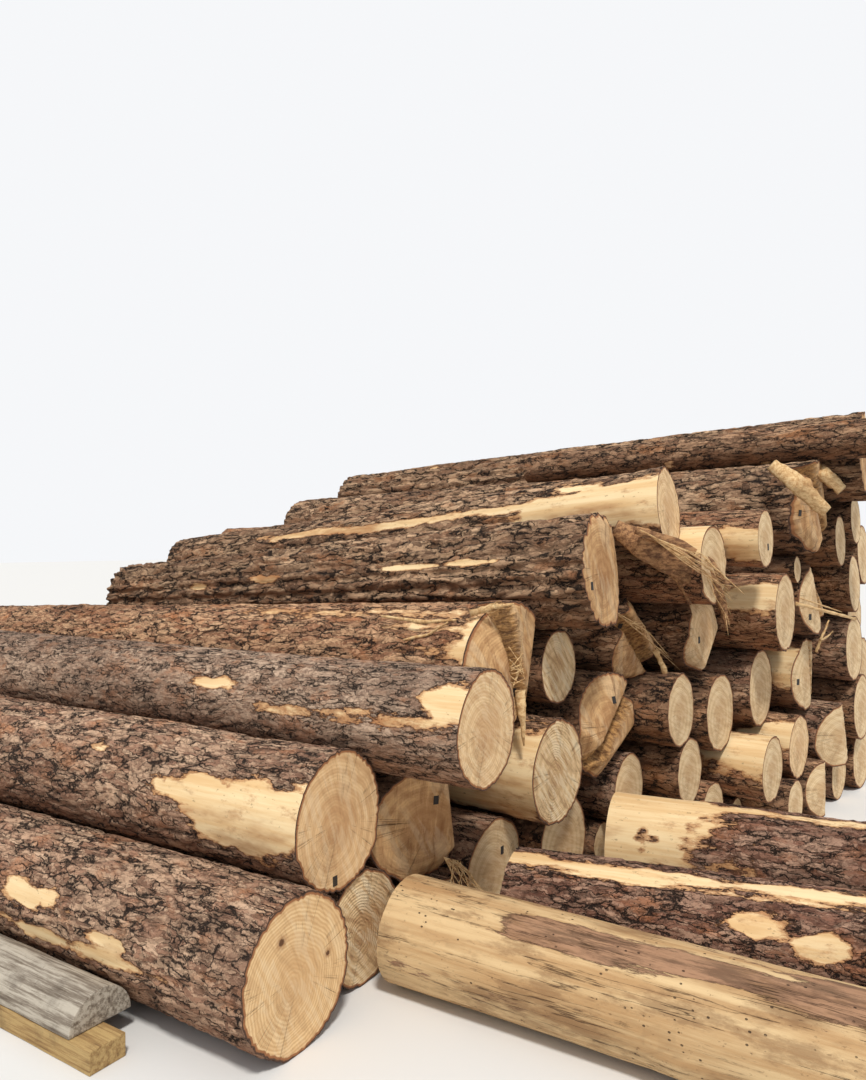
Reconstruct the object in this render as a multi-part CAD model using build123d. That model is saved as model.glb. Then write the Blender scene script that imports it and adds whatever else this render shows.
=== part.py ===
from build123d import *
import math
import os

os.makedirs("parts", exist_ok=True)

# Measures shared by the whole heap, in millimetres.
# X runs along the face of the heap, Y from the face to the back, Z up from the ground.
sawn_length = 4000.0
short_length = 3150.0
prop_length = 2300.0
resting_gap = 0.3
ordinary_taper = 1.02
left_turn = 480.0
spread_share = 0.115
right_place = 2200.0
right_share = 0.13
gap_samples = 16
overhang = 700.0
bare_turn_share = 0.134
yellow_turn_share = 0.301
cream_turn_share = 0.272
oval = 0.015
oval_turn_step = 137.5
felled_sides = 48
steep_taper = 0.08
bark_ridges = 20
corners_per_ridge = 3
bark_groove = 20.0
cut_reach = 600.0

# How far a log looks for neighbours, and how far it may move while it settles.
neighbour_width = 900.0
neighbour_margin = 150.0
touch_margin = 0.001
free_margin = 2.0
crowding_slack = 0.05
lowering_slack = 0.15
lowering_reach = 15.0
tipping_reach = 6.0
let_down_reach = 30.0
lift_first = 2.0
roll_reach = 20.0
rolled_left = 120.0
rolled_right = 200.0
pushed_back = 60.0
pushed_ahead = 260.0

# Rounds of each search, which halves its step every time.
gap_rounds = 12
lower_rounds = 22
ground_rounds = 24
exact_rounds = 14
slide_rounds = 16
settle_rounds = 5
swap_rounds = 3

# The squared timber and the half-round slab that chock the left side of the heap.
bearer_length = 3000.0
timber_width = 130.0
timber_height = 75.0
slab_width = 230.0
slab_height = 112.0
slab_setback = 480.0
timber_setback = 370.0
timber_left = -500.0
slab_search_left = 60.0
slab_search_right = 120.0

placed = []


class Log:
    """A tapered log with a straight axis from its near end to its far end."""

    def __init__(self, name, near, far=None, front=0.0, length=sawn_length,
                 facets=(), notch=None, ridged=False):
        self.name = name
        self.near = near / 2
        self.far = (far if far else near * ordinary_taper) / 2
        self.front = front
        self.length = length
        self.facets = facets
        self.notch = notch
        self.ridged = ridged
        self.oval_turn = math.radians(oval_turn_step * (len(placed) + 1))
        self.ends = None

    def set_ends(self, x0, z0, x1, z1):
        run = math.sqrt(self.length ** 2 - (x1 - x0) ** 2 - (z1 - z0) ** 2)
        self.ends = ((x0, self.front, z0), (x1, self.front + run, z1))

    def body_radius(self, s):
        return self.near + (self.far - self.near) * s

    def radius(self, s, dx=0.0, dz=-1.0):
        """Half width of the oval log at s, measured towards dx, dz."""
        angle = math.atan2(dz, dx) - self.oval_turn
        share = math.hypot((1 + oval) * math.cos(angle), (1 - oval) * math.sin(angle))
        return self.body_radius(s) * share

    def point(self, s):
        a, b = self.ends
        return tuple(p + (q - p) * s for p, q in zip(a, b))

    def reaches(self, y):
        return y < self.ends[1][1] + overhang

    def station(self, y):
        s = (y - self.front) / (self.ends[1][1] - self.front)
        x, _, z = self.point(s)
        return x, z, self.body_radius(s)


def foot(other, p):
    a, b = other.ends
    d = [q - o for o, q in zip(a, b)]
    along = sum((pi - ai) * di for pi, ai, di in zip(p, a, d))
    return along / sum(di * di for di in d)


def one_way_gap(log, other, s):
    p = log.point(s)
    t = foot(other, p)
    if t < 0 or t > 1:
        return math.inf
    q = other.point(t)
    dx = q[0] - p[0]
    dz = q[2] - p[2]
    return math.dist(p, q) - log.radius(s, dx, dz) - other.radius(t, -dx, -dz)


def closest(log, other, start=0.0, end=1.0):
    """Least room between two logs over a stretch of the first one, and where it is."""
    step = (end - start) / gap_samples
    places = [start + step * k for k in range(gap_samples + 1)]
    values = [one_way_gap(log, other, s) for s in places]
    k = values.index(min(values))
    low = max(start, places[k] - step)
    high = min(end, places[k] + step)
    for _ in range(gap_rounds):
        third = (high - low) / 3
        if one_way_gap(log, other, low + third) < one_way_gap(log, other, high - third):
            high -= third
        else:
            low += third
    middle = (low + high) / 2
    return min((values[k], places[k]), (one_way_gap(log, other, middle), middle))


def gap(log, other):
    """Shortest distance between the barks of two logs lying side by side."""
    return min(closest(log, other)[0], closest(other, log)[0])


def nearest_gap(log):
    """Room left around a log: to its neighbours, and below it to the ground."""
    (x0, y0, z0), (x1, y1, z1) = log.ends
    room = min(z0 - log.radius(0), z1 - log.radius(1)) + resting_gap
    for other in placed:
        a, b = other.ends
        reach = log.near + other.near + neighbour_margin
        if min(math.hypot(x0 - a[0], z0 - a[2]), math.hypot(x1 - b[0], z1 - b[2])) < reach:
            room = min(room, gap(log, other))
    return room


def cradle(one, two, r):
    """Centre of a circle of radius r lying in the hollow between two circles."""
    if one[0] > two[0]:
        one, two = two, one
    d1 = one[2] + r
    d2 = two[2] + r
    base = math.hypot(two[0] - one[0], two[1] - one[1])
    if base > d1 + d2:
        return None
    a = (d1 * d1 - d2 * d2 + base * base) / (2 * base)
    h = math.sqrt(max(0.0, d1 * d1 - a * a))
    ux = (two[0] - one[0]) / base
    uz = (two[1] - one[1]) / base
    return one[0] + ux * a - uz * h, one[1] + uz * a + ux * h


def hollow(r, x, y):
    """The hollow nearest to x in the slice of the heap at y: its centre and its two logs."""
    near_by = [(p, p.station(y)) for p in placed if p.reaches(y)]
    near_by = [(p, c) for p, c in near_by if abs(c[0] - x) < neighbour_width]
    best = None
    for i in range(len(near_by)):
        for j in range(i):
            one, a = near_by[i]
            two, b = near_by[j]
            spot = cradle(a, b, r)
            if spot is None or not min(a[0], b[0]) <= spot[0] <= max(a[0], b[0]):
                continue
            if best is not None and abs(spot[0] - x) >= abs(best[0][0] - x):
                continue
            others = [math.hypot(spot[0] - c[0], spot[1] - c[1]) - c[2] for _, c in near_by]
            if min(others) > r - touch_margin:
                best = (spot, one, two)
    return best


def is_free(spot, r, y):
    circles = [p.station(y) for p in placed if p.reaches(y)]
    return all(math.hypot(spot[0] - c[0], spot[1] - c[1]) > r + c[2] - free_margin for c in circles)


def shift(log, near_up, far_up):
    (x0, _, z0), (x1, _, z1) = log.ends
    log.set_ends(x0, z0 + near_up, x1, z1 + far_up)


def lower(log, near_share, far_share, reach):
    """Lets one end or both ends down until the log just rests."""
    low, high = -reach, reach
    start = log.ends
    for _ in range(lower_rounds):
        middle = (low + high) / 2
        log.ends = start
        shift(log, near_share * middle, far_share * middle)
        if nearest_gap(log) < resting_gap:
            low = middle
        else:
            high = middle
    log.ends = start
    shift(log, near_share * high, far_share * high)


def seat_end(log, one, two, near_end):
    """Moves one end of a log sideways and down until that half rests on both supports."""
    start, end = (0.0, 0.5) if near_end else (0.5, 1.0)
    rows = []
    for support in (one, two):
        room, s = closest(log, support, start, end)
        p = log.point(s)
        q = support.point(foot(support, p))
        away = math.dist(p, q)
        share = (1 - s if near_end else s) / away
        rows.append(((p[0] - q[0]) * share, (p[2] - q[2]) * share, resting_gap - room))
    (a, b, e), (c, d, f) = rows
    det = a * d - b * c
    dx = (e * d - b * f) / det
    dz = (a * f - e * c) / det
    (x0, _, z0), (x1, _, z1) = log.ends
    if near_end:
        log.set_ends(x0 + dx, z0 + dz, x1, z1)
    else:
        log.set_ends(x0, z0, x1 + dx, z1 + dz)


def crowding(log, supports, start, end):
    """The log that takes most room from a new log over one half, apart from its supports."""
    worst = (resting_gap - crowding_slack, None)
    for other in placed:
        if other in supports:
            continue
        if abs(other.ends[0][0] - log.ends[0][0]) > neighbour_width:
            continue
        room = closest(log, other, start, end)[0]
        if room < worst[0]:
            worst = (room, other)
    return worst[1]


def settle(log, near_pair, far_pair):
    for _ in range(settle_rounds):
        seat_end(log, near_pair[0], near_pair[1], True)
        seat_end(log, far_pair[0], far_pair[1], False)


def swap(log, pair, newcomer):
    """Puts a crowding log in the place of the support on its side."""
    middle = (log.ends[0][0] + log.ends[1][0]) / 2
    side = (newcomer.ends[0][0] + newcomer.ends[1][0]) / 2 - middle
    left, right = sorted(pair, key=lambda p: p.ends[0][0] + p.ends[1][0])
    return (left, newcomer) if side > 0 else (newcomer, right)


def rest(log, x, back_x=None):
    """Lays a log in the hollow of the heap nearest to x and lets it settle."""
    spot, one, two = hollow(log.near, x, log.front)
    back = log.front + log.length
    near_pair = far_pair = (one, two)
    far_spot = cradle(one.station(back), two.station(back), log.far)
    if back_x is not None or far_spot is None or not is_free(far_spot, log.far, back):
        back_x = spot[0] - fan(spot[0]) if back_x is None else back_x
        far_spot, three, four = hollow(log.far, back_x, back)
        far_pair = (three, four)
    log.set_ends(spot[0], spot[1], far_spot[0], far_spot[1])
    settle(log, near_pair, far_pair)
    for _ in range(swap_rounds):
        near_crowd = crowding(log, near_pair, 0.0, 0.5)
        far_crowd = crowding(log, far_pair, 0.5, 1.0)
        if near_crowd:
            near_pair = swap(log, near_pair, near_crowd)
        if far_crowd:
            far_pair = swap(log, far_pair, far_crowd)
        if not near_crowd and not far_crowd:
            break
        settle(log, near_pair, far_pair)
    room = nearest_gap(log)
    if room < resting_gap - lowering_slack:
        lower(log, 1, 1, lowering_reach)
        lower(log, 1, 0, tipping_reach)
        lower(log, 0, 1, tipping_reach)
    placed.append(log)
    return log


def fan(x):
    """How far the back end lies to the left: much at the left side, less along the face."""
    return left_turn - spread_share * min(x, right_place) - right_share * max(0.0, x - right_place)


def lay(log, x, turn):
    """Puts a log on the ground with its near end at x, turned to the left by turn."""
    near = log.radius(0)
    far = log.radius(1)
    tilt = math.cos(math.atan((near - far) / log.length))
    log.set_ends(x, near * tilt, x - turn, far * tilt)


def ground(log, x, turn=None, beside=None):
    """Lays a log on the ground at x, or rolled against the log to its left."""
    low, high = x - rolled_left, x + rolled_right
    if beside:
        for _ in range(ground_rounds):
            middle = (low + high) / 2
            lay(log, middle, fan(middle) if turn is None else turn)
            if gap(log, beside) < resting_gap:
                low = middle
            else:
                high = middle
        x = high
    lay(log, x, fan(x) if turn is None else turn)
    placed.append(log)
    return log


def section(log, s, across, way, plain=False):
    """Outline of a log at s: oval, many-sided where the butt is cut, or with ridges of bark."""
    r = log.body_radius(s)
    place = Plane(origin=log.point(s), x_dir=across, z_dir=way)
    wide, narrow = r * (1 + oval), r * (1 - oval)
    gentle = abs(log.far / log.near - 1) < steep_taper
    if plain or gentle and not log.ridged and not log.facets:
        return Wire([Edge.make_ellipse(wide, narrow, place)])
    sides = corners_per_ridge * bark_ridges if log.ridged else felled_sides
    corners = []
    for k in range(sides):
        angle = 2 * math.pi * k / sides
        sunk = bark_groove if log.ridged and k % corners_per_ridge == corners_per_ridge - 1 else 0
        corner = Vector((wide - sunk) * math.cos(angle), (narrow - sunk) * math.sin(angle), 0)
        corners.append(place.from_local_coords(corner))
    return Wire.make_polygon(corners, close=True)


def in_front(point, along, across, axis):
    """All that lies on the near side of a plane through a point."""
    normal = along.cross(across)
    if normal.dot(axis) > 0:
        normal = normal * -1
    plane = Plane(origin=point, x_dir=along, z_dir=normal)
    block = Box(4 * cut_reach, 4 * cut_reach, cut_reach, align=(Align.CENTER, Align.CENTER, Align.MIN))
    return plane * block


def fell(solid, log, axis):
    """Cuts the facets and the notch of a felled butt, each from its turn round the log."""
    near = Vector(*log.ends[0])
    right = Vector(0, 1, 0).cross(Vector(0, 0, 1))
    right = (right - axis * right.dot(axis)).normalized()
    up = right.cross(axis)

    def towards(turn):
        return right * math.cos(math.radians(turn)) + up * math.sin(math.radians(turn))

    for turn, reach, lean in log.facets:
        out = towards(turn)
        back = out * math.cos(math.radians(lean)) + axis * math.sin(math.radians(lean))
        solid = solid - in_front(near + out * reach, towards(turn + 90), back, axis)
    if log.notch:
        turn, offset, depth, half_width = log.notch
        side = towards(turn - 90)
        bottom = near + side * offset + axis * depth
        one = in_front(bottom, towards(turn), side * half_width - axis * depth, axis)
        two = in_front(bottom, towards(turn), side * -half_width - axis * depth, axis)
        solid = solid - (one & two)
    return solid.solid()


def solid_of(log, plain=False):
    """A tapered log with a sawn far end and a sawn or felled near end, or its plain round form."""
    a, b = log.ends
    way = Vector(*b) - Vector(*a)
    across = Vector(math.cos(log.oval_turn), 0, math.sin(log.oval_turn))
    across = across - way * (across.dot(way) / way.dot(way))
    trunk = Solid.make_loft([section(log, s, across, way, plain) for s in (0, 1)], True)
    return trunk if plain or not log.facets else fell(trunk, log, way.normalized())


def let_down(log, *supports):
    """Lowers a log that lies across others until it rests on one of them."""
    start = log.ends
    targets = [solid_of(support, plain=True) for support in supports]
    low, high = -let_down_reach, lift_first
    for _ in range(exact_rounds):
        middle = (low + high) / 2
        log.ends = start
        shift(log, middle, middle)
        moved = solid_of(log, plain=True)
        if min(moved.distance_to(target) for target in targets) > resting_gap:
            high = middle
        else:
            low = middle
    log.ends = start
    shift(log, high, high)


def roll_against(log, other):
    """Rolls a log on the ground to the left until it touches another."""
    start = log.ends
    target = solid_of(other)
    low, high = 0.0, roll_reach
    for _ in range(exact_rounds):
        middle = (low + high) / 2
        (x0, _, z0), (x1, _, z1) = start
        log.set_ends(x0 - middle, z0, x1 - middle, z1)
        if solid_of(log).distance_to(target) > resting_gap:
            low = middle
        else:
            high = middle
    log.set_ends(x0 - low, z0, x1 - low, z1)


def slide(log, front, start, way):
    """Moves a log by a distance along its own axis, from where it started."""
    (x0, _, z0), (x1, _, z1) = start
    aside = (x1 - x0) * way / log.length
    log.front = front + way
    log.set_ends(x0 + aside, z0, x1 + aside, z1)


def push(log, other):
    """Slides a log along its own axis towards the heap until it meets the end of another."""
    start = log.ends
    front = log.front
    target = solid_of(other)
    low, high = -pushed_back, pushed_ahead
    for _ in range(slide_rounds):
        middle = (low + high) / 2
        slide(log, front, start, middle)
        if solid_of(log).distance_to(target) > resting_gap:
            low = middle
        else:
            high = middle
    slide(log, front, start, low)


# The logs on the ground, from the left side of the heap to the right.
left_ground = ground(Log("left_ground_log", 495, 460, front=-25), -20)
ground(Log("shaded_ground_log", 412, front=115), 428, beside=left_ground)
hidden_ground_1 = ground(Log("hidden_ground_logs", 275, 290, front=60), 785)
dim_ground = ground(Log("dim_ground_log", 435, front=65), 1145)
ground(Log("saw_faced_ground_log", 445, 430, front=5), 1580, beside=dim_ground)
ground(Log("thin_ground_log", 215, 225, front=20), 1988)
ground(Log("hidden_ground_logs", 275, front=-110), 2275)
ground(Log("low_right_log", 325, front=-275), 2625)
ground(Log("hidden_ground_logs", 190, 180, front=-300), 2887)
ground(Log("notched_low_log", 280, front=-540), 3125)
ground(Log("two_faced_low_log", 315, front=-590, facets=[(180, 20, 25), (0, 30, 30)]), 3475)
ground(Log("hidden_ground_logs", 310, 310, front=-560), 3890)
ground(Log("flank_low_logs", 400, front=-600), 4255)
ground(Log("flank_low_logs", 335, front=-540), 4695)

# The second layer.
rest(Log("peeled_side_log", 475, 465, front=85), 290)
wedge_facets = [(190, -70, 30), (10, 75, 38), (250, 80, 35), (320, 150, 50)]
rest(Log("wedge_butt_log", 475, 450, front=40, facets=wedge_facets), 749)
rest(Log("lower_saw_marked_log", 460, 470, front=-105), 1365)
shaded_round = rest(Log("shaded_round_log", 345, front=-75), 2072)
rest(Log("dusty_round_log", 335, front=-240), 2410)
rest(Log("tagged_low_log", 355, front=-490), 2918)
rest(Log("brown_round_log", 365, 380, front=-515), 3274)
rest(Log("ridged_log", 390, front=-635, facets=[(195, 10, 30), (20, 60, 40)]), 3689)
rest(Log("edge_lower_log", 400, front=-650), 4067)
rest(Log("flank_second_log", 345, front=-560), 4522)

# The third layer.
heart_facets = [(140, 60, 22), (215, 140, 42), (290, 120, 35)]
rest(Log("heart_butt_log", 495, 460, front=-115, facets=heart_facets,
         notch=(38, 30, 95, 55)), 1833)
rest(Log("middle_round_log", 368, 380, front=-250), 2275)
rest(Log("tall_round_log", 412, front=-295), 2674)
rest(Log("pale_round_log", 420, front=-365), 3084)
rest(Log("double_faced_log", 435, front=-485, facets=[(0, 110, 30), (190, 130, 20)],
         notch=(98, 85, 70, 30)), 3510)
rest(Log("edge_middle_log", 405, front=-640), 3914)
rest(Log("flank_middle_log", 355, front=-580), 4371)
rest(Log("grey_bark_log", 415, 410, front=-265), 611)
split_facets = [(150, 90, 25), (340, 120, 30), (225, 170, 42), (295, 170, 45)]
split_butt = rest(Log("split_butt_log", 574, 538, front=-70, facets=split_facets,
                      notch=(104, 20, 150, 62)), 1092)
upper_saw_marked = rest(Log("upper_saw_marked_log", 330, front=0), 1543)

# The fourth layer.
broken_butt = rest(Log("broken_butt_log", 420, front=-125, facets=[(235, 50, 30), (55, 70, 35)],
                       notch=(142, -20, 90, 60)), 2088)
angular_facets = [(92, 95, 30), (35, 170, 38), (225, 150, 45), (310, 145, 45), (178, 195, 40)]
rest(Log("angular_butt_log", 490, 460, front=-260, facets=angular_facets), 2552)
rest(Log("clean_face_log", 430, front=-515), 3018)
rest(Log("right_tall_log", 450, 430, front=-545, facets=[(50, 60, 35), (185, 120, 25)],
         notch=(118, 60, 80, 45)), 3455)
rest(Log("edge_upper_log", 350, front=-650), 3865)
rest(Log("flank_upper_log", 345, front=-560), 4244)

# The top of the heap.
furrowed_facets = [(208, 125, 78), (330, 115, 78), (5, 120, 42), (90, 205, 50)]
furrowed_bark = rest(Log("furrowed_bark_log", 515, 380, front=-250, length=short_length, ridged=True,
                         facets=furrowed_facets), 1493, 1120)
let_down(furrowed_bark, split_butt, upper_saw_marked, broken_butt)
short_pale = rest(Log("stub_faced_log", 385, 370, front=-415), 2258)
rest(Log("hidden_upper_log", 210, front=-100), 2780)
upper_round = rest(Log("upper_round_log", 295, front=-550), 2583)
rest(Log("hidden_upper_log", 265, 190, front=450, length=prop_length), 1900)
peeled_top = rest(Log("peeled_top_log", 395, 380, front=-310, length=short_length), 1907, 1520)
let_down(peeled_top, short_pale, furrowed_bark, upper_round)
rest(Log("peeled_small_log", 150, front=-520), 3220)
thin_upper = rest(Log("thin_upper_log", 305, front=-625), 3643)
notched_facets = [(195, 110, 25), (20, 150, 40), (300, 180, 42)]
notched_butt = rest(Log("notched_butt_log", 540, 520, front=-615, facets=notched_facets,
                        notch=(125, 30, 140, 75)), 3230)
flank_fifth = rest(Log("flank_top_log", 380, front=-620), 4203)
edge_top = rest(Log("edge_top_log", 300, front=-640), 4030)
striped_top = rest(Log("striped_top_log", 530, 490, front=-755, ridged=True), 3690)
let_down(striped_top, notched_butt, edge_top, thin_upper, flank_fifth)
thin_top = rest(Log("thin_top_log", 215, 205, front=-1100, length=2400), 3450)
let_down(thin_top, striped_top, notched_butt)

# Three loose logs that have come to rest on the ground at the foot of the face.
bare_loose = ground(Log("bare_loose_log", 340, 372, front=-10 - sawn_length), 1088,
                    turn=bare_turn_share * sawn_length)
yellow_patched_loose = Log("yellow_patched_loose_log", 430, 410, front=27 - sawn_length)
cream_ended_loose = ground(Log("cream_ended_loose_log", 430, 440, front=-58 - sawn_length), 2913,
                           turn=cream_turn_share * sawn_length)

push(bare_loose, hidden_ground_1)
ground(yellow_patched_loose, 2241, turn=yellow_turn_share * sawn_length, beside=bare_loose)
roll_against(yellow_patched_loose, bare_loose)
push(cream_ended_loose, shaded_round)

solids = {}
for log in placed:
    solids.setdefault(log.name, []).append(solid_of(log))


# The squared timber lies along the left log with the slab flat on it.
slab_radius = (slab_width ** 2 / 4 + slab_height ** 2) / (2 * slab_height)
lie = math.degrees(math.atan2(left_ground.ends[1][0] - left_ground.ends[0][0], sawn_length))
timber_x = timber_left + timber_width / 2
timber = Box(timber_width, bearer_length, timber_height, align=(Align.CENTER, Align.MIN, Align.MIN))
timber = Location((timber_x, timber_setback, 0), (0, 0, -lie)) * timber
solids["squared_timber"] = [timber]
round_part = Cylinder(slab_radius, bearer_length, rotation=(-90, 0, 0),
                      align=(Align.CENTER, Align.CENTER, Align.MIN))
round_part = Pos(0, 0, slab_height - slab_radius) * round_part
keep = Box(2 * slab_radius, 3 * bearer_length, 2 * slab_radius,
           align=(Align.CENTER, Align.CENTER, Align.MIN))
half_round = round_part & keep
left_solid = solid_of(left_ground)


def slab_at(x):
    return Location((x, slab_setback, timber_height + resting_gap), (0, 0, -lie)) * half_round


low, high = timber_x - slab_search_left, timber_x + slab_search_right
for _ in range(slide_rounds):
    middle = (low + high) / 2
    if slab_at(middle).distance_to(left_solid) > resting_gap:
        low = middle
    else:
        high = middle
solids["half_round_slab"] = [slab_at(low)]

whole = Compound([p for pieces in solids.values() for p in pieces]).bounding_box()
to_origin = Pos(-(whole.min.X + whole.max.X) / 2, -(whole.min.Y + whole.max.Y) / 2, -whole.min.Z)
for name in solids:
    solids[name] = [to_origin * p for p in solids[name]]

for name, pieces in solids.items():
    export_step(Compound(pieces) if len(pieces) > 1 else pieces[0], f"parts/{name}.step")
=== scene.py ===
import math

import bmesh
import bpy
import numpy as np
from mathutils import Matrix, Vector


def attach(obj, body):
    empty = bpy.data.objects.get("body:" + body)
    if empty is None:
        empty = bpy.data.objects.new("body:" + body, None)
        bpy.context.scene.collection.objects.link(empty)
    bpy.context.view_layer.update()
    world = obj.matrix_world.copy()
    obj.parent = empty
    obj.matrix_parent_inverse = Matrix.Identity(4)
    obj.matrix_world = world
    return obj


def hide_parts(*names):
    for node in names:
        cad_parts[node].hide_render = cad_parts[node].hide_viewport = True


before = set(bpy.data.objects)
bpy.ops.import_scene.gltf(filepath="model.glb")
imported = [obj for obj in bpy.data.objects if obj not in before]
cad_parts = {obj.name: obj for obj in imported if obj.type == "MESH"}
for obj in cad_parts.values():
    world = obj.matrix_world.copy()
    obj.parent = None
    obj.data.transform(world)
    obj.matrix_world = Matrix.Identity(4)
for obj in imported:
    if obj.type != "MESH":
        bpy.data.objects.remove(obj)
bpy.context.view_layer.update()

scene = bpy.context.scene
scene.view_settings.view_transform = "Standard"


def new_object(name, data):
    obj = bpy.data.objects.new(name, data)
    scene.collection.objects.link(obj)
    return obj


# Reading the logs' axes from the frame.
def loose_parts(obj):
    """The points of each separate solid in a node's mesh."""
    mesh = obj.data
    co = np.empty(len(mesh.vertices) * 3)
    mesh.vertices.foreach_get("co", co)
    co = co.reshape(-1, 3)
    keys, same = np.unique(np.round(co, 5), axis=0, return_inverse=True)
    same = same.reshape(-1)
    parent = list(range(len(keys)))

    def find(a):
        while parent[a] != a:
            parent[a] = parent[parent[a]]
            a = parent[a]
        return a

    for e in mesh.edges:
        a, b = find(same[e.vertices[0]]), find(same[e.vertices[1]])
        parent[a] = b
    label = np.array([find(i) for i in range(len(keys))])
    return [keys[label == k] for k in np.unique(label)]


def cross_axes(d):
    """The level axis and the upward axis across a log that runs along d."""
    x = np.cross(d, (0, 0, 1.0))
    x /= np.linalg.norm(x)
    return x, np.cross(x, d)


def ring_centre(points, d):
    """The middle of a ring of points that faces along d."""
    x, z = cross_axes(d)
    across, up = points @ x, points @ z
    middle = x * (across.min() + across.max()) / 2 + z * (up.min() + up.max()) / 2
    return middle + d * (points @ d).mean()


# A facet's back is how squarely it faces the near end: below the first it is the log's side, above
# the second its sawn end. A facet steeper than STEEP is read as a limit to the radius instead.
SIDE_BACK, END_BACK, STEEP = 0.08, 0.999, 2
# Two facets as alike in slope and as opposed in turn as this are a notch.
SAME_SLOPE, OPPOSED = 0.02, -0.999
NO_LIMIT, SKIM = 9.0, 0.04
# Points this near an end, in metres, are read as belonging to it.
END_BAND, END_LAYER, NEAR_LAYER = 0.03, 0.001, 0.0005


class Trunk:
    """Axis, outline and felling cuts of one log, read from its solid."""

    def __init__(self, points, polygons=()):
        d = np.linalg.svd(points - points.mean(0))[2][0]
        d = d if d[1] > 0 else -d
        for _ in range(3):
            t = points @ d
            ring = points[t > t.max() - END_BAND]
            normal = np.linalg.svd(ring - ring.mean(0))[2][2]
            d = normal if normal @ d > 0 else -normal
        t = points @ d
        ring = points[t > t.max() - END_LAYER]
        self.d, self.length = d, t.max() - t.min()
        self.start = ring_centre(ring, d) - d * self.length
        self.x, self.z = cross_axes(d)
        angle, rho = self.polar(ring)
        order = np.argsort(angle)
        self.angles, self.far = angle[order], rho[order]
        near_angle, near_rho = self.polar(points[t < t.min() + NEAR_LAYER])
        self.widening = (near_rho - self.outline(near_angle)).max()
        self.r0, self.r1 = rho.max() + self.widening, rho.max()
        self.facets, self.notches = self.cuts(polygons)

    def polar(self, points):
        p = points - self.start
        return np.arctan2(p @ self.z, p @ self.x), np.hypot(p @ self.x, p @ self.z)

    def outline(self, theta):
        return np.interp(theta, self.angles, self.far, period=2 * math.pi)

    def cuts(self, polygons):
        """Planes that slope back from the near end, as (turn, reach, slope); V-shaped pairs apart."""
        found = {}
        for poly in polygons:
            n = np.array(poly.normal)
            across, up, back = n @ self.x, n @ self.z, -(n @ self.d)
            if not SIDE_BACK < back < END_BACK:
                continue
            turn, slope = math.atan2(up, across), math.hypot(across, up) / back
            c = np.array(poly.center) - self.start
            reach = (c @ self.x) * math.cos(turn) + (c @ self.z) * math.sin(turn) - (c @ self.d) / slope
            found[round(math.degrees(turn)) % 360, round(slope, 1), round(reach, 2)] = (turn, reach, slope)
        planes, notches = list(found.values()), []
        for one in planes:
            for two in planes:
                alike = one[0] < two[0] and abs(one[2] - two[2]) < SAME_SLOPE
                if alike and math.cos(one[0] - two[0]) < OPPOSED:
                    notches.append((one, two))
        pairs = [p for pair in notches for p in pair]
        return [p for p in planes if p not in pairs], notches

    def notch_depths(self, x, z):
        return [np.minimum(*[k * (x * math.cos(a) + z * math.sin(a) - reach) for a, reach, k in pair])
                for pair in self.notches]

    def depth(self, x, z):
        """How far the felled face lies back from the log's foremost point, at x, z across it."""
        depth = np.zeros(np.broadcast(x, z).shape)
        for turn, reach, slope in self.facets:
            if slope < STEEP:
                depth = np.maximum(depth, slope * (x * math.cos(turn) + z * math.sin(turn) - reach))
        for notch in self.notch_depths(x, z):
            depth = np.maximum(depth, notch)
        return depth

    def limit(self, theta, y):
        """Radius left by the steep cuts, which run far back along the log."""
        limit = np.full(np.broadcast(theta, y).shape, NO_LIMIT)
        for turn, reach, slope in self.facets:
            if slope >= STEEP:
                c = np.cos(theta - turn)
                left = (reach + y / slope) / np.maximum(c, SKIM)
                limit = np.minimum(limit, np.where(c > SKIM, left, NO_LIMIT))
        return limit


# Noise on the unrolled bark, repeating round the log.
OCTAVE_SHARE = 0.55
PLATE_JITTER = 0.42
FAR = 9.0


def hashed(i, j, seed):
    """A number of 0 to 1 for each whole-numbered cell, scattered by large odd factors."""
    n = (i.astype(np.int64) * 374761393 + j.astype(np.int64) * 668265263 + seed * 974711) & 0xFFFFFFFF
    n = ((n ^ (n >> 13)) * 1274126177) & 0xFFFFFFFF
    n = ((n ^ (n >> 15)) * 2246822519) & 0xFFFFFFFF
    return ((n ^ (n >> 16)) & 0xFFFFFF) / float(0xFFFFFF)


def value_noise(u, v, period, seed):
    iu, iv = np.floor(u), np.floor(v)
    fu, fv = u - iu, v - iv
    fu, fv = fu * fu * (3 - 2 * fu), fv * fv * (3 - 2 * fv)
    a = hashed(iu % period, iv, seed)
    b = hashed((iu + 1) % period, iv, seed)
    c = hashed(iu % period, iv + 1, seed)
    e = hashed((iu + 1) % period, iv + 1, seed)
    return (a + (b - a) * fu) * (1 - fv) + (c + (e - c) * fu) * fv


def rough_noise(turn, y, across, along, seed, octaves=4):
    """Sum of value noises; turn runs from 0 to 1 round the log, sizes in cells."""
    total, share, weight = 0, 1.0, 0.0
    period = max(2, int(round(across)))
    for k in range(octaves):
        total = total + share * (value_noise(turn * period, y / along, period, seed + k) - 0.5)
        weight += share
        share *= OCTAVE_SHARE
        period *= 2
        along /= 2
    return total / weight * 2


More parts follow.
